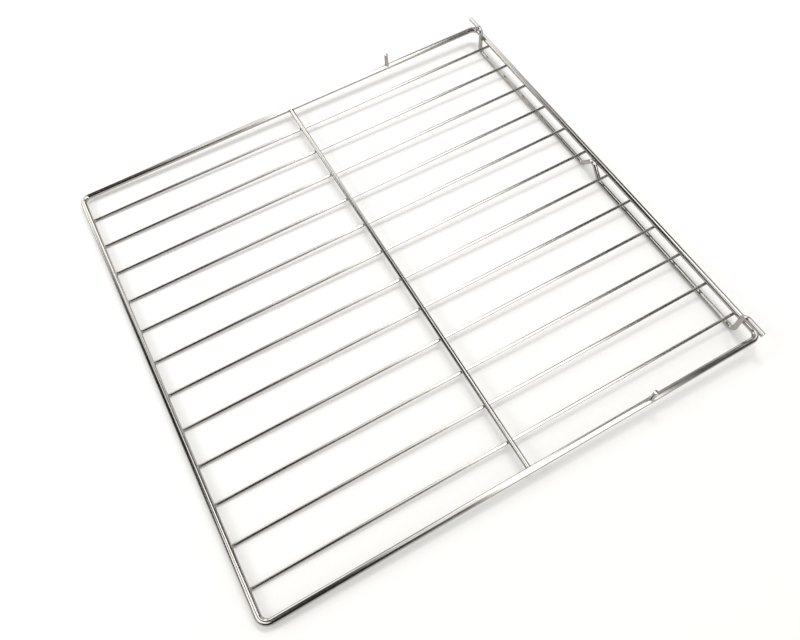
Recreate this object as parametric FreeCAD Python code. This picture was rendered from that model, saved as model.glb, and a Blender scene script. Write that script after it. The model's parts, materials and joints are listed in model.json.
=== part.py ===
import FreeCAD, Part
import math
import os

# Oven shelf rack of bright welded wire, lying with its back guard downwards.
# Millimetres. X runs across the oven, +Y to the rear, +Z up.
# The rack is laid out on the plane through the middle of its frame wire,
# then leaned and lifted once so that it stands on its lowest points.

# Frame wire: outside sizes, and the bend on the wire's centre line
frame_width = 400.0
frame_depth = 409.0
frame_wire_diameter = 5.0
frame_bend_radius = 7.0

# Cross wires: the side gap is from the side wire's middle to the first cross wire's middle
cross_wire_count = 12
cross_wire_diameter = 2.5
cross_wire_side_gap = 25.1
cross_wire_end_inset = 1.0

# Centre support
support_diameter = 4.0

# Back guard: rises and drop are from the frame's middle plane to the guard's centre line
guard_diameter = 4.0
guard_overhang = 0.5
guard_leg_gap = 5.3
guard_run_drop = 12.5
guard_end_rise = 10.8
guard_bend_radius = 5.0
peak_foot_spacing = 25.0
peak_corner_rise = 1.8
peak_bend_radius = 4.0

# Stop pegs: heights are above the crown of the side wire
peg_diameter = 3.5
peg_height = 11.8
peg_from_middle = 102.5
peg_foot_diameter = 4.8
peg_foot_height = 1.7
peg_foot_wrap = 0.9

# How far the guard sinks into the rear wire at its welds, and the bevel on cut ends
guard_set_down = 0.25
cut_end_trim = 0.4

frame_r = frame_wire_diameter / 2
cross_r = cross_wire_diameter / 2
support_r = support_diameter / 2
guard_r = guard_diameter / 2
peg_r = peg_diameter / 2
half_width = frame_width / 2 - frame_r
half_depth = frame_depth / 2 - frame_r

outer_cross_x = half_width - cross_wire_side_gap
cross_wire_pitch = 2 * outer_cross_x / (cross_wire_count - 1)
cross_z = -(frame_r + cross_r)
cross_half_length = frame_depth / 2 - cross_wire_end_inset
support_z = cross_z + cross_r + support_r

guard_y = half_depth - (frame_r + guard_r - guard_set_down)
guard_leg_x = outer_cross_x + cross_r + guard_leg_gap + guard_r
guard_tip_x = frame_width / 2 + guard_overhang
peg_top = frame_r + peg_height


def vec(x, y, z):
    return FreeCAD.Vector(x, y, z)


def disc(centre, direction, radius):
    """Round face square to the direction."""
    circle = Part.makeCircle(radius, centre, direction)
    return Part.Face(Part.Wire(circle))


def rod(start, end, radius):
    """Straight round wire."""
    return disc(start, end - start, radius).extrude(end - start)


def bent_wire(corners, bends, radius, closed):
    """Round wire swept along straight runs that turn at each corner on that corner's bend radius."""
    count = len(corners)
    turning = range(count) if closed else range(1, count - 1)
    runs = range(count) if closed else range(count - 1)
    arrive = {}
    leave = {}
    turns = {}
    for i in turning:
        corner = corners[i]
        back = (corners[i - 1] - corner).normalize()
        onward = (corners[(i + 1) % count] - corner).normalize()
        half_angle = back.getAngle(onward) / 2
        bisector = (back + onward).normalize()
        crest = corner + bisector * (bends[i] / math.sin(half_angle) - bends[i])
        arrive[i] = corner + back * (bends[i] / math.tan(half_angle))
        leave[i] = corner + onward * (bends[i] / math.tan(half_angle))
        turns[i] = Part.Arc(arrive[i], crest, leave[i]).toBSpline()
    line = []
    for i in runs:
        j = (i + 1) % count
        start = leave.get(i, corners[i])
        end = arrive.get(j, corners[j])
        line.append(Part.makeLine(start, end))
        if j in turns:
            line.append(turns[j].toShape())
    first = line[0]
    section = Part.makeCircle(radius, first.firstVertex().Point, first.tangentAt(0))
    return Part.Wire(line).makePipeShell([Part.Wire(section)], True, False)


def trim_ends(solid, is_cut_end):
    """Break the sharp rim of each cut end, picked out by the centre of its rim."""
    rims = []
    for edge in solid.Edges:
        if isinstance(edge.Curve, Part.Circle) and is_cut_end(edge.Curve.Center):
            rims.append(edge)
    return solid.makeChamfer(cut_end_trim, rims)


def frame_wire():
    corners = [
        vec(-half_width, -half_depth, 0),
        vec(half_width, -half_depth, 0),
        vec(half_width, half_depth, 0),
        vec(-half_width, half_depth, 0),
    ]
    bends = [frame_bend_radius] * len(corners)
    return bent_wire(corners, bends, frame_r, True)


def centre_support(frame):
    """Straight wire whose ends are coped to the side wires."""
    bar = rod(vec(-half_width, 0, support_z), vec(half_width, 0, support_z), support_r)
    return bar.cut(frame).Solids[0]


def cross_wire(number):
    """Thin straight wire that lies against the undersides of the frame and the support."""
    x = (number - (cross_wire_count + 1) / 2) * cross_wire_pitch
    front_end = vec(x, -cross_half_length, cross_z)
    rear_end = vec(x, cross_half_length, cross_z)
    return rod(front_end, rear_end, cross_r)


def back_guard(frame):
    """Bent wire along the inside of the rear wire, with a peak that rises between two cross wires."""
    peak_x = cross_wire_pitch / 2 * (cross_wire_count % 2)
    foot = peak_foot_spacing / 2
    outline = [
        (-guard_tip_x, guard_end_rise, 0.0),
        (-guard_leg_x, guard_end_rise, guard_bend_radius),
        (-guard_leg_x, -guard_run_drop, guard_bend_radius),
        (peak_x - foot, -guard_run_drop, peak_bend_radius),
        (peak_x, peak_corner_rise, peak_bend_radius),
        (peak_x + foot, -guard_run_drop, peak_bend_radius),
        (guard_leg_x, -guard_run_drop, guard_bend_radius),
        (guard_leg_x, guard_end_rise, guard_bend_radius),
        (guard_tip_x, guard_end_rise, 0.0),
    ]
    corners = [vec(x, guard_y, z) for x, z, bend in outline]
    bends = [bend for x, z, bend in outline]
    wire = bent_wire(corners, bends, guard_r, False)
    tip_limit = guard_tip_x - cut_end_trim / 2
    wire = trim_ends(wire, lambda rim: abs(rim.x) > tip_limit)
    return wire.cut(frame).Solids[0]


def stop_peg(side, frame):
    """Stud with a flared weld foot that wraps the crown of the side wire."""
    x = side * half_width
    shank = rod(vec(x, peg_from_middle, 0), vec(x, peg_from_middle, peg_top), peg_r)
    tip_limit = peg_top - cut_end_trim / 2
    shank = trim_ends(shank, lambda rim: rim.z > tip_limit)
    foot_base = vec(x, peg_from_middle, frame_r - peg_foot_wrap)
    foot_length = peg_foot_wrap + peg_foot_height
    foot = Part.makeCone(peg_foot_diameter / 2, peg_r, foot_length, foot_base, vec(0, 0, 1))
    return shank.fuse(foot).cut(frame).removeSplitter().Solids[0]


def rest_placement():
    """Lean that brings the front ends of the cross wires and the guard's low run down together."""
    span = guard_y + cross_half_length
    drop = guard_run_drop + cross_z - cross_r
    lean = math.atan2(drop, span) + math.asin(guard_r / math.hypot(span, drop))
    lift = cross_half_length * math.sin(lean) - (cross_z - cross_r) * math.cos(lean)
    turn = FreeCAD.Rotation(vec(1, 0, 0), math.degrees(lean))
    return FreeCAD.Placement(vec(0, 0, lift), turn)


frame = frame_wire()
support = centre_support(frame)
pieces = {
    "frame_wire": frame,
    "centre_support_wire": support,
    "back_guard_wire": back_guard(frame),
    "stop_peg_left": stop_peg(-1, frame),
    "stop_peg_right": stop_peg(1, frame),
}
for number in range(1, cross_wire_count + 1):
    pieces["cross_wire_%02d" % number] = cross_wire(number)

os.makedirs("parts", exist_ok=True)
at_rest = rest_placement().toMatrix()
for name, solid in pieces.items():
    solid.transformed(at_rest, True).exportStep("parts/%s.step" % name)
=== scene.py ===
import json
import math

import bpy
import numpy as np
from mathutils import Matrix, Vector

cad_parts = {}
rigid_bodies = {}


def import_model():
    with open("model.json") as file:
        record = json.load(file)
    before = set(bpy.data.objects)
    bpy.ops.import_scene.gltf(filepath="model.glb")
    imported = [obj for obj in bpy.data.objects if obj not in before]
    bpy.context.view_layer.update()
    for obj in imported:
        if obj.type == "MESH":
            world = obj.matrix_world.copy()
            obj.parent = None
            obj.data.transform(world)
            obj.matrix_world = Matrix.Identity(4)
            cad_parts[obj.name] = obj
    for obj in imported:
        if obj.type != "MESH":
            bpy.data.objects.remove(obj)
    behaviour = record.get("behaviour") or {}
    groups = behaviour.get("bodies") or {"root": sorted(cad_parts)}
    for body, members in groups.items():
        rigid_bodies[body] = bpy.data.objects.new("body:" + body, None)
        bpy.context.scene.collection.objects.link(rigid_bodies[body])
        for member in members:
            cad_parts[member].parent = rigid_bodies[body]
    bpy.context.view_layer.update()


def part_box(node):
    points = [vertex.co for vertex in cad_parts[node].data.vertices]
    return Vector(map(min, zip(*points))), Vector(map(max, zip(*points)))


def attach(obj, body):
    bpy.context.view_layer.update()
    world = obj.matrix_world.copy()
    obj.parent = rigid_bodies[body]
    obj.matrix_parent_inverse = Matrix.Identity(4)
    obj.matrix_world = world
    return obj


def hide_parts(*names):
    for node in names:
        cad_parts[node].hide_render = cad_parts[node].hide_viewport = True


# Oven shelf rack of bright plated wire, lying with its back guard downwards on white paper.
# Lengths are in metres; sizes written in millimetres are multiplied by mm.
mm = 0.001

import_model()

# Sizes that the node boxes don't give; heights are from the middle plane of the frame
cross_wire_count = 12
frame_bend = 7.0 * mm
guard_bend = 5.0 * mm
guard_leg_x = 180.95 * mm
guard_end_rise = 10.8 * mm
guard_run_drop = 12.5 * mm
peak_foot_x = 12.5 * mm
peak_corner_rise = 1.8 * mm
peak_bend = 4.0 * mm
cut_end_round = 0.4 * mm

# Stop pegs: the flare starts at the base and ends at the foot height above the side wire's crown
peg_flare_base = 1.6 * mm
peg_flare_width = 0.65 * mm
peg_foot_height = 1.7 * mm

# Weld beads: half sizes across, rearward and upward, and the waves of their surface
cross_bead = np.array([1.15, 1.45, 0.45]) * mm
guard_bead = np.array([1.7, 0.55, 1.9]) * mm
support_bead = np.array([0.7, 2.35, 2.2]) * mm
broad_wave = 0.07
fine_wave = 0.05
fine_wave_shift = 2.3

# Each bead's seed turns its waves, so that no two neighbours are alike
bead_seed_step = 0.7
front_bead_seed = 0
middle_bead_seed = 2
rear_bead_seed = 4
left_guard_seed = 1.1
right_guard_seed = 3.4
support_bead_seed = 2.0

# Smoothness of the swept wires and the beads
points_around = 40
points_per_bend = 20
points_per_round = 6
bead_rings = 12
bead_points_around = 24

# Plated wire: the lines are drawn out along it, per metre along and per turn around
wire_dark = (0.340, 0.326, 0.306, 1.0)
wire_light = (0.434, 0.416, 0.392, 1.0)
draw_line_scale = (14.0, 26.0, 1.0)
draw_line_detail = 3.0
cloud_scale = 55.0
cloud_detail = 2.0
wire_roughness = 0.10
line_roughness = 0.07
cloud_roughness = 0.06
line_bump = 0.06
line_depth = 0.4 * mm

# Weld metal
weld_dark = (0.26, 0.25, 0.235, 1.0)
weld_light = (0.46, 0.45, 0.43, 1.0)
grain_scale = 900.0
grain_detail = 3.0
weld_roughness = 0.28
grain_roughness = 0.2
grain_bump = 0.25
grain_depth = 0.3 * mm

# Camera, as the photograph was taken
camera_place = (0.28690, -0.13432, 0.48538)
camera_turn_deg = (28.8850, 1.8301, 60.9998)
camera_lens = 31.728
sensor_width = 36.0

# Paper and surroundings: the fade gives two distances from the middle
paper_colour = (0.895, 0.88, 0.862, 1.0)
paper_white = (1.0, 0.998, 0.99, 1.0)
paper_roughness = 0.9
paper_shine = 0.1
paper_lift = 0.15
paper_fade = (0.5, 1.4)
paper_half_side = 4.0
world_level = 0.76

# Soft lamps: name, size, watts and place, each aimed at the middle of the floor
softboxes = [
    ("overhead_softbox", (0.4, 0.3), 6.5, (-0.45, 0.25, 1.45)),
    ("rear_softbox", (0.5, 0.35), 4.5, (-0.1, 0.85, 1.6)),
    ("front_softbox", (0.4, 0.3), 2.6, (-0.45, -0.95, 0.75)),
]

# Arch that the wires mirror: patches of (level, angles, angle softness, y range, y softness)
# Angle 0 is level on the near side and 180 on the far side.
arch_radius = 1.1
arch_reach = 8.0
arch_steps = 36
arch_base = 0.03
arch_patches = [
    (4.5, (-20, 112), 24, (0.15, 0.55), 0.08),
    (1.5, (110, 200), 24, (0.12, 0.36), 0.08),
    (2.4, (134, 200), 10, (0.12, 0.42), 0.08),
    (0.6, (126, 200), 10, (0.44, 0.62), 0.08),
    (1.6, (67, 165), 16, (-0.12, 0.13), 0.10),
    (0.5, (67, 105), 16, (-0.12, 0.13), 0.10),
    (0.8, (136, 165), 16, (-0.12, 0.13), 0.10),
    (0.15, (-20, 67), 16, (-0.07, 0.15), 0.10),
    (3.0, (138, 200), 26, (-0.66, -0.14), 0.10),
    (2.5, (56, 105), 8, (0.90, 2.0), 0.20),
    (2.8, (56, 105), 8, (-2.4, -0.46), 0.10),
    (1.8, (146, 200), 14, (0.90, 2.4), 0.20),
    (4.6, (153, 170), 8, (-1.20, -0.74), 0.10),
    (2.2, (138, 152), 8, (0.60, 1.05), 0.08),
]


def node_box(name):
    """Lowest and highest corners of a node."""
    low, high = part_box(name)
    return np.array(low), np.array(high)


def rack_lean():
    """Angle of the rack from the level, found from the box of a straight cross wire.

    Its depth is length · cos + width · sin, and its height is length · sin + width · cos, so a few
    rounds that start from the level settle the angle."""
    low, high = node_box("cross_wire_01")
    width, depth, height = high - low
    rounds = 4
    angle = 0.0
    for number in range(rounds):
        angle = math.atan2(height - width * math.cos(angle), depth - width * math.sin(angle))
    return angle


lean = rack_lean()
across = np.array([1.0, 0.0, 0.0])
rearward = np.array([0.0, math.cos(lean), math.sin(lean)])
upward = np.array([0.0, -math.sin(lean), math.cos(lean)])

# The same directions in rack coordinates
rack_across, rack_rearward, rack_upward = np.eye(3)

# The frame's box is 2 (h cos + r) deep and 2 (h sin + r) high, where h is half the depth of its centre line
frame_low, frame_high = node_box("frame_wire")
rack_middle = (frame_low + frame_high) / 2
frame_span = frame_high - frame_low
frame_r = (frame_span[2] - frame_span[1] * math.tan(lean)) / (2 * (1 - math.tan(lean)))
half_width = frame_span[0] / 2 - frame_r
half_depth = (frame_span[1] / 2 - frame_r) / math.cos(lean)


def place(points):
    """Rack coordinates (across, rearward, upward from the frame's middle plane) to the scene."""
    points = np.asarray(points, float)
    return rack_middle + points @ np.array([across, rearward, upward])


def in_rack(point):
    """Scene point to rack coordinates."""
    return np.array([across, rearward, upward]) @ (np.asarray(point) - rack_middle)


def bent_line(corners, bends, closed):
    """Points on straight runs joined by arcs: each arc's centre lies on the corner's bisector."""
    corners = np.asarray(corners, float)
    count = len(corners)
    pieces = []
    for i in range(count):
        if not closed and i in (0, count - 1):
            pieces.append(corners[i][None])
            continue
        back = corners[i - 1] - corners[i]
        onward = corners[(i + 1) % count] - corners[i]
        back /= np.linalg.norm(back)
        onward /= np.linalg.norm(onward)
        half_angle = math.acos(np.clip(back @ onward, -1, 1)) / 2
        bisector = (back + onward) / np.linalg.norm(back + onward)
        chord = (onward - back) / np.linalg.norm(onward - back)
        centre = corners[i] + bisector * bends[i] / math.sin(half_angle)
        sweep = math.pi / 2 - half_angle
        turn = np.linspace(-sweep, sweep, points_per_bend)[:, None]
        pieces.append(centre + bends[i] * (np.sin(turn) * chord - np.cos(turn) * bisector))
    return np.concatenate(pieces)


def rounded_ends(line, radius):
    """The line with steps added at its ends, where the wire's radius follows a quarter circle.

    At an inset of e (1 - cos t) from the end the radius is less by e (1 - sin t). Two plain steps
    behind each round keep the long run's shading straight."""
    edge = cut_end_round
    plain_steps = [1.5 * edge, 2.5 * edge]
    turn = np.linspace(0, math.pi / 2, points_per_round)
    inset = np.concatenate([edge * (1 - np.cos(turn)), plain_steps])
    shrink = np.concatenate([edge * (1 - np.sin(turn)), np.zeros(len(plain_steps))])
    start = (line[1] - line[0]) / np.linalg.norm(line[1] - line[0])
    end = (line[-2] - line[-1]) / np.linalg.norm(line[-2] - line[-1])
    head = line[0] + np.outer(inset, start)
    tail = line[-1] + np.outer(inset[::-1], end)
    radii = np.concatenate([radius - shrink, np.full(len(line) - 2, radius), radius - shrink[::-1]])
    return np.concatenate([head, line[1:-1], tail]), radii


def grid_mesh(name, grid, lengths, closed_along):
    """Mesh of a grid of points [along, around] that closes around, with end faces where it is open along.

    The UV map holds metres along the wire and the share of a turn around it."""
    along, around = grid.shape[:2]
    rows = np.arange(along if closed_along else along - 1)
    i, j = np.meshgrid(rows, np.arange(around), indexing="ij")
    i2 = (i + 1) % along
    j2 = (j + 1) % around
    quads = np.stack([i * around + j, i * around + j2, i2 * around + j2, i2 * around + j], -1)
    faces = quads.reshape(-1, 4).tolist()
    u = np.stack([lengths[i], lengths[i], lengths[i + 1], lengths[i + 1]], -1)
    v = np.stack([j, j + 1, j + 1, j], -1) / around
    uv = np.stack([u, v], -1).reshape(-1, 2)
    if not closed_along:
        first = list(range(around))
        last = list(range((along - 1) * around, along * around))
        faces += [first[::-1], last]
        turn = np.linspace(0, 1, around, endpoint=False)
        end_uv = np.stack([np.zeros(around), turn], -1)
        uv = np.concatenate([uv, end_uv, end_uv])
    mesh = bpy.data.meshes.new(name)
    mesh.from_pydata(grid.reshape(-1, 3).tolist(), [], faces)
    layer = mesh.uv_layers.new(name="along")
    layer.data.foreach_set("uv", uv.astype(np.float32).ravel())
    mesh.shade_smooth()
    obj = bpy.data.objects.new(name, mesh)
    bpy.context.scene.collection.objects.link(obj)
    return obj


def unit_rows(steps):
    """Each step at length 1; a step of no length stays as it is."""
    shortest = 1e-12
    return steps / np.maximum(np.linalg.norm(steps, axis=1), shortest)[:, None]


def swept_wire(name, line, radii, plane_normal, closed):
    """A circle carried along a flat line: line + radius (cos t · side + sin t · plane normal)."""
    line = np.asarray(line, float)
    if closed:
        ahead = np.roll(line, -1, 0)
        behind = np.roll(line, 1, 0)
        steps = np.linalg.norm(ahead - line, axis=1)
    else:
        ahead = np.concatenate([line[1:], line[-1:]])
        behind = np.concatenate([line[:1], line[:-1]])
        steps = np.linalg.norm(np.diff(line, axis=0), axis=1)
    tangent = unit_rows(ahead - line) + unit_rows(line - behind)
    tangent /= np.linalg.norm(tangent, axis=1)[:, None]
    side = np.cross(plane_normal, tangent)
    turn = np.linspace(0, 2 * math.pi, points_around, endpoint=False)
    ring = np.cos(turn)[None, :, None] * side[:, None] + np.sin(turn)[None, :, None] * plane_normal
    grid = line[:, None] + np.broadcast_to(radii, len(line))[:, None, None] * ring
    lengths = np.concatenate([[0.0], np.cumsum(steps)])
    return grid_mesh(name, place(grid), lengths, closed)


def turned(name, foot, axis, side, profile):
    """A profile of (height, radius) turned about the axis that rises from the foot."""
    profile = np.asarray(profile, float)
    turn = np.linspace(0, 2 * math.pi, points_around, endpoint=False)
    other = np.cross(axis, side)
    ring = np.cos(turn)[:, None] * side + np.sin(turn)[:, None] * other
    grid = foot + profile[:, :1, None] * axis + profile[:, 1:, None] * ring
    steps = np.linalg.norm(np.diff(profile, axis=0), axis=1)
    return grid_mesh(name, place(grid), np.concatenate([[0.0], np.cumsum(steps)]), False)


class Shade:
    """A shader value that takes part in sums and products as a number does."""

    def __init__(self, tree, socket):
        self.tree = tree
        self.socket = socket

    def node(self, kind, settings, inputs, output=0):
        made = self.tree.nodes.new(kind)
        for key, value in settings.items():
            setattr(made, key, value)
        for key, value in inputs.items():
            if isinstance(value, Shade):
                self.tree.links.new(value.socket, made.inputs[key])
            else:
                made.inputs[key].default_value = value
        return Shade(self.tree, made.outputs[output])

    def math(self, operation, first, second):
        return self.node("ShaderNodeMath", {"operation": operation}, {0: first, 1: second})

    def __add__(self, other):
        return self.math("ADD", self, other)

    def __radd__(self, other):
        return self.math("ADD", other, self)

    def __sub__(self, other):
        return self.math("SUBTRACT", self, other)

    def __rsub__(self, other):
        return self.math("SUBTRACT", other, self)

    def __mul__(self, other):
        return self.math("MULTIPLY", self, other)

    def __rmul__(self, other):
        return self.math("MULTIPLY", other, self)


class Finish:
    """A material with its Principled shader, and the Object coordinate and UV to draw on."""

    def __init__(self, name):
        self.material = bpy.data.materials.new(name)
        self.material.use_nodes = True
        self.tree = self.material.node_tree
        self.shader = self.tree.nodes["Principled BSDF"]
        coordinates = self.tree.nodes.new("ShaderNodeTexCoord")
        self.objects = Shade(self.tree, coordinates.outputs["Object"])
        self.uv = Shade(self.tree, coordinates.outputs["UV"])

    def fix(self, socket, value):
        """Set one value all over the surface."""
        self.shader.inputs[socket].default_value = value

    def vary(self, socket, shade):
        """Feed a socket of the shader with what changes over the surface."""
        self.tree.links.new(shade.socket, self.shader.inputs[socket])

    def show(self, shade):
        """Put another shader in the Principled one's place."""
        self.tree.links.new(shade.socket, self.tree.nodes["Material Output"].inputs["Surface"])


def noise(where, scale, detail):
    return where.node("ShaderNodeTexNoise", {}, {"Vector": where, "Scale": scale, "Detail": detail})


def mix_colour(factor, first, second):
    """From the first colour at factor 0 to the second at factor 1."""
    return factor.node("ShaderNodeMix", {"data_type": "RGBA"}, {0: factor, 6: first, 7: second}, 2)


def bumped(height, strength, depth):
    return height.node("ShaderNodeBump", {}, {"Strength": strength, "Distance": depth, "Height": height})


def smooth_step(value, low, high):
    """0 up to low, 1 from high, and a smooth rise between them."""
    settings = {"interpolation_type": "SMOOTHSTEP"}
    return value.node("ShaderNodeMapRange", settings, {"Value": value, "From Min": low, "From Max": high})


def soft_band(value, low, high, soft):
    """1 between low and high, falling smoothly to 0 over the soft width centred on each."""
    rise = smooth_step(value, low - soft / 2, low + soft / 2)
    fall = smooth_step(value, high - soft / 2, high + soft / 2)
    return rise * (1 - fall)


def plated_wire():
    """Bright plating over drawn wire: faint draw lines along the wire and cloudy handling marks."""
    finish = Finish("bright_plated_wire")
    finish.fix("Metallic", 1.0)
    stretch = {0: finish.uv, 1: draw_line_scale}
    stretched = finish.uv.node("ShaderNodeVectorMath", {"operation": "MULTIPLY"}, stretch)
    lines = noise(stretched, 1.0, draw_line_detail)
    clouds = noise(finish.objects, cloud_scale, cloud_detail)
    finish.vary("Base Color", mix_colour(clouds, wire_dark, wire_light))
    finish.vary("Roughness", wire_roughness + line_roughness * lines + cloud_roughness * clouds)
    finish.vary("Normal", bumped(lines, line_bump, line_depth))
    return finish.material


def weld_metal():
    """Fused metal at a weld: duller and darker than the plated wire, with a fine grain."""
    finish = Finish("dull_weld_metal")
    finish.fix("Metallic", 1.0)
    grain = noise(finish.objects, grain_scale, grain_detail)
    finish.vary("Base Color", mix_colour(grain, weld_dark, weld_light))
    finish.vary("Roughness", weld_roughness + grain_roughness * grain)
    finish.vary("Normal", bumped(grain, grain_bump, grain_depth))
    return finish.material


wire_finish = plated_wire()
weld_finish = weld_metal()


def dress(obj, material, *nodes):
    """Give a piece its finish, and let it ride on the rack in place of the nodes that it stands for."""
    obj.data.materials.append(material)
    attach(obj, "root")
    if nodes:
        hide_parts(*nodes)


def make_frame():
    """Closed loop of four straight runs and four bends."""
    corners = [
        (-half_width, -half_depth, 0),
        (half_width, -half_depth, 0),
        (half_width, half_depth, 0),
        (-half_width, half_depth, 0),
    ]
    line = bent_line(corners, [frame_bend] * len(corners), True)
    wire = swept_wire("outer_frame", line, frame_r, rack_upward, True)
    dress(wire, wire_finish, "frame_wire")


def straight_wire(name, node, along):
    """Straight wire in the place of a node, along axis 0 (across) or axis 1 (rearward).

    Its middle and radius are the box's. Across, its length is the box's width; rearward, the box's
    depth is length · cos + width · sin of the lean."""
    low, high = node_box(node)
    middle = in_rack((low + high) / 2)
    if along == 0:
        radius = (high[2] - low[2]) / 2
        half = (high[0] - low[0]) / 2
    else:
        radius = (high[0] - low[0]) / 2
        half = ((high[1] - low[1]) / 2 - radius * math.sin(lean)) / math.cos(lean)
    reach = np.eye(3)[along] * half
    line, radii = rounded_ends(np.array([middle - reach, middle, middle + reach]), radius)
    dress(swept_wire(name, line, radii, rack_upward, False), wire_finish, node)
    return middle, radius


def make_guard():
    """Bent wire in an upright plane: two free ends, two legs, and a low run with a peak in its middle."""
    low, high = node_box("back_guard_wire")
    tip_x = (high[0] - low[0]) / 2
    radius = (high[2] - low[2] - (guard_end_rise + guard_run_drop) * math.cos(lean)) / 2
    y = in_rack((low + high) / 2)[1]
    outline = [
        (-tip_x, guard_end_rise, 0),
        (-guard_leg_x, guard_end_rise, guard_bend),
        (-guard_leg_x, -guard_run_drop, guard_bend),
        (-peak_foot_x, -guard_run_drop, peak_bend),
        (0, peak_corner_rise, peak_bend),
        (peak_foot_x, -guard_run_drop, peak_bend),
        (guard_leg_x, -guard_run_drop, guard_bend),
        (guard_leg_x, guard_end_rise, guard_bend),
        (tip_x, guard_end_rise, 0),
    ]
    corners = [(x, y, z) for x, z, bend in outline]
    line = bent_line(corners, [bend for x, z, bend in outline], False)
    line, radii = rounded_ends(line, radius)
    dress(swept_wire("back_guard", line, radii, rack_rearward, False), wire_finish, "back_guard_wire")
    return y, radius


def make_peg(name, node):
    """Stud turned about its own axis: a hollow flare at the foot, a straight shank and a rounded tip.

    The flare is a quarter ellipse, (1 - cos t) of its height and (1 - sin t) of its width; the tip is a
    quarter circle."""
    low, high = node_box(node)
    middle = in_rack((low + high) / 2)
    foot_r = (high[0] - low[0]) / 2
    peg_r = foot_r - peg_flare_width
    top = in_rack((middle[0], (low[1] + high[1]) / 2, high[2]))[2]
    turn = np.linspace(0, math.pi / 2, points_per_round)
    flare_height = frame_r + peg_foot_height - peg_flare_base
    flare_up = peg_flare_base + flare_height * (1 - np.cos(turn))
    flare = np.stack([flare_up, foot_r - (foot_r - peg_r) * np.sin(turn)], -1)
    tip_up = top - cut_end_round * (1 - np.sin(turn))
    tip = np.stack([tip_up, peg_r - cut_end_round * (1 - np.cos(turn))], -1)
    shank = np.array([[flare[-1, 0] + cut_end_round, peg_r], [top - 2 * cut_end_round, peg_r]])
    profile = np.concatenate([flare, shank, tip])
    foot = np.array([middle[0], middle[1], 0.0])
    dress(turned(name, foot, rack_upward, rack_across, profile), wire_finish, node)


def weld_bead(name, centre, reach, seed):
    """Flattened lump: an ellipsoid whose radius swells and dips by three broad and five fine waves."""
    lift = np.linspace(-math.pi / 2, math.pi / 2, bead_rings)[1:-1, None]
    turn = np.linspace(0, 2 * math.pi, bead_points_around, endpoint=False)[None]
    broad = broad_wave * np.sin(3 * turn + seed) * np.cos(lift)
    fine = fine_wave * np.sin(5 * turn + fine_wave_shift * seed) * np.cos(lift) ** 2
    swell = 1 + broad + fine
    level = swell * np.cos(lift)
    ball = np.stack([level * np.cos(turn), level * np.sin(turn), swell * np.sin(lift)], -1)
    grid = np.asarray(centre) + ball * np.asarray(reach)
    steps = np.arange(len(grid)) * float(min(reach))
    dress(grid_mesh(name, place(grid), steps, False), weld_finish)


make_frame()
cross_wires = []
for number in range(1, cross_wire_count + 1):
    cross_wires.append(straight_wire("shelf_wire_%02d" % number, "cross_wire_%02d" % number, 1))
support_middle = straight_wire("middle_support", "centre_support_wire", 0)[0]
guard_y, guard_r = make_guard()
make_peg("left_stop", "stop_peg_left")
make_peg("right_stop", "stop_peg_right")

# Beads where each cross wire touches the front wire, the support and the rear wire
bead_rows = [
    ("front_weld", -half_depth, front_bead_seed),
    ("middle_weld", support_middle[1], middle_bead_seed),
    ("rear_weld", half_depth, rear_bead_seed),
]
for number, (middle, radius) in enumerate(cross_wires, 1):
    touch = middle[2] + radius
    for row, y, row_seed in bead_rows:
        seed = bead_seed_step * number + row_seed
        weld_bead("%s_%02d" % (row, number), (middle[0], y, touch), cross_bead, seed)

# Beads between the guard's legs and the rear wire, and at the ends of the support
guard_touch_y = (guard_y + guard_r + half_depth - frame_r) / 2
weld_bead("guard_weld_left", (-guard_leg_x, guard_touch_y, 0), guard_bead, left_guard_seed)
weld_bead("guard_weld_right", (guard_leg_x, guard_touch_y, 0), guard_bead, right_guard_seed)
for side, name in ((-1, "left"), (1, "right")):
    end = (side * (half_width - frame_r), support_middle[1], support_middle[2])
    weld_bead("support_weld_" + name, end, support_bead, support_bead_seed + side)


def staged(name, points, faces, material):
    """A surface of the studio, which is no part of the rack."""
    mesh = bpy.data.meshes.new(name)
    mesh.from_pydata(points, [], faces)
    mesh.materials.append(material)
    obj = bpy.data.objects.new(name, mesh)
    bpy.context.scene.collection.objects.link(obj)
    return obj


def seen_or_mirrored(shade):
    """1 for a ray from the camera, off a shiny surface or through glass, 0 for light on the scene."""
    seen = shade.node("ShaderNodeLightPath", {}, {}, "Is Camera Ray")
    mirrored = shade.node("ShaderNodeLightPath", {}, {}, "Is Glossy Ray")
    through = shade.node("ShaderNodeLightPath", {}, {}, "Is Transmission Ray")
    return shade.math("MAXIMUM", shade.math("MAXIMUM", seen, mirrored), through)


def emission(shade, colour):
    return shade.node("ShaderNodeEmission", {}, {"Color": colour, "Strength": 1.0})


def make_floor():
    """White paper that keeps the shadow, lifted a little towards plain white where it is seen.

    The lift grows smoothly to the whole of it between the two distances of paper_fade from the middle."""
    finish = Finish("white_paper")
    finish.fix("Base Color", paper_colour)
    finish.fix("Roughness", paper_roughness)
    finish.fix("Specular IOR Level", paper_shine)
    plain = emission(finish.uv, paper_white)
    length = {"operation": "LENGTH"}
    distance = finish.objects.node("ShaderNodeVectorMath", length, {0: finish.objects}, "Value")
    away = smooth_step(distance, paper_fade[0], paper_fade[1])
    lift = (paper_lift + (1 - paper_lift) * away) * seen_or_mirrored(finish.uv)
    paper = Shade(finish.tree, finish.shader.outputs["BSDF"])
    finish.show(paper.node("ShaderNodeMixShader", {}, {0: lift, 1: paper, 2: plain}))
    half = paper_half_side
    corners = [(-half, -half, 0), (half, -half, 0), (half, half, 0), (-half, half, 0)]
    staged("paper_floor", corners, [(0, 1, 2, 3)], finish.material)


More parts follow.
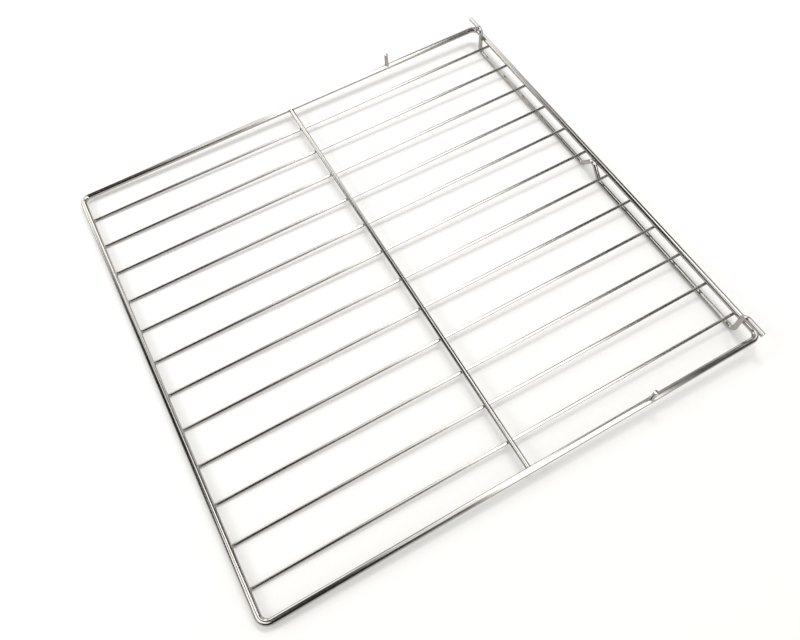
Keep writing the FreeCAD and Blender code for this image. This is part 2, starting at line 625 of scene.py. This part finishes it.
def make_light_arch():
    """Round arch over the rack, (r cos a, y, r sin a), that only the wires' reflections see.

    Its brightness is the sum of soft-edged patches in angle and in y, which its UV map holds."""
    finish = Finish("light_arch")
    angle_here = finish.uv.node("ShaderNodeSeparateXYZ", {}, {0: finish.uv}, "X")
    y_here = finish.uv.node("ShaderNodeSeparateXYZ", {}, {0: finish.uv}, "Y")
    glow = arch_base
    for level, angles, angle_soft, ys, y_soft in arch_patches:
        in_angle = soft_band(angle_here, angles[0], angles[1], angle_soft)
        in_y = soft_band(y_here, ys[0], ys[1], y_soft)
        glow = glow + level * (in_angle * in_y)
    finish.show(emission(finish.uv, glow))
    angles = np.linspace(0, 180, arch_steps + 1)
    angle, y = np.meshgrid(angles, [-arch_reach, arch_reach], indexing="ij")
    turn = np.radians(angle)
    points = np.stack([arch_radius * np.cos(turn), y, arch_radius * np.sin(turn)], -1).reshape(-1, 3)
    rows = np.arange(arch_steps) * 2
    faces = np.stack([rows, rows + 1, rows + 3, rows + 2], -1)
    obj = staged("light_arch", points.tolist(), faces.tolist(), finish.material)
    layer = obj.data.uv_layers.new(name="angle_and_y")
    corner_uv = np.stack([angle, y], -1).reshape(-1, 2)[faces.ravel()]
    layer.data.foreach_set("uv", corner_uv.astype(np.float32).ravel())
    obj.visible_camera = False
    obj.visible_diffuse = False
    obj.visible_shadow = False
    obj.visible_transmission = False


def soft_lamp(name, size, watts, place_here):
    """Flat rectangular lamp aimed at the middle of the floor, unseen in the wires.

    It tips by the angle between straight down and its aim, and turns about the upright to face it."""
    lamp = bpy.data.lights.new(name, "AREA")
    lamp.shape = "RECTANGLE"
    lamp.size, lamp.size_y = size
    lamp.energy = watts
    obj = bpy.data.objects.new(name, lamp)
    bpy.context.scene.collection.objects.link(obj)
    obj.location = place_here
    aim_x, aim_y, aim_z = -np.array(place_here)
    tip = math.atan2(math.hypot(aim_x, aim_y), -aim_z)
    turn = math.atan2(aim_y, aim_x) - math.pi / 2
    obj.rotation_euler = (tip, 0, turn)
    obj.visible_glossy = False


def make_surroundings():
    """Even white all round: plain white where it is seen or mirrored, and a lower level as light."""
    world = bpy.data.worlds.new("studio")
    bpy.context.scene.world = world
    world.use_nodes = True
    background = world.node_tree.nodes["Background"]
    background.inputs["Color"].default_value = paper_white
    sky = Shade(world.node_tree, background.outputs["Background"])
    strength = world_level + (1 - world_level) * seen_or_mirrored(sky)
    world.node_tree.links.new(strength.socket, background.inputs["Strength"])


make_floor()
make_surroundings()
for name, size, watts, place_here in softboxes:
    soft_lamp(name, size, watts, place_here)
make_light_arch()

camera = bpy.data.cameras.new("photo_camera")
camera.lens = camera_lens
camera.sensor_width = sensor_width
camera_object = bpy.data.objects.new("photo_camera", camera)
bpy.context.scene.collection.objects.link(camera_object)
camera_object.location = camera_place
camera_object.rotation_euler = [math.radians(turn) for turn in camera_turn_deg]
bpy.context.scene.camera = camera_object
bpy.context.scene.view_settings.view_transform = "Standard"
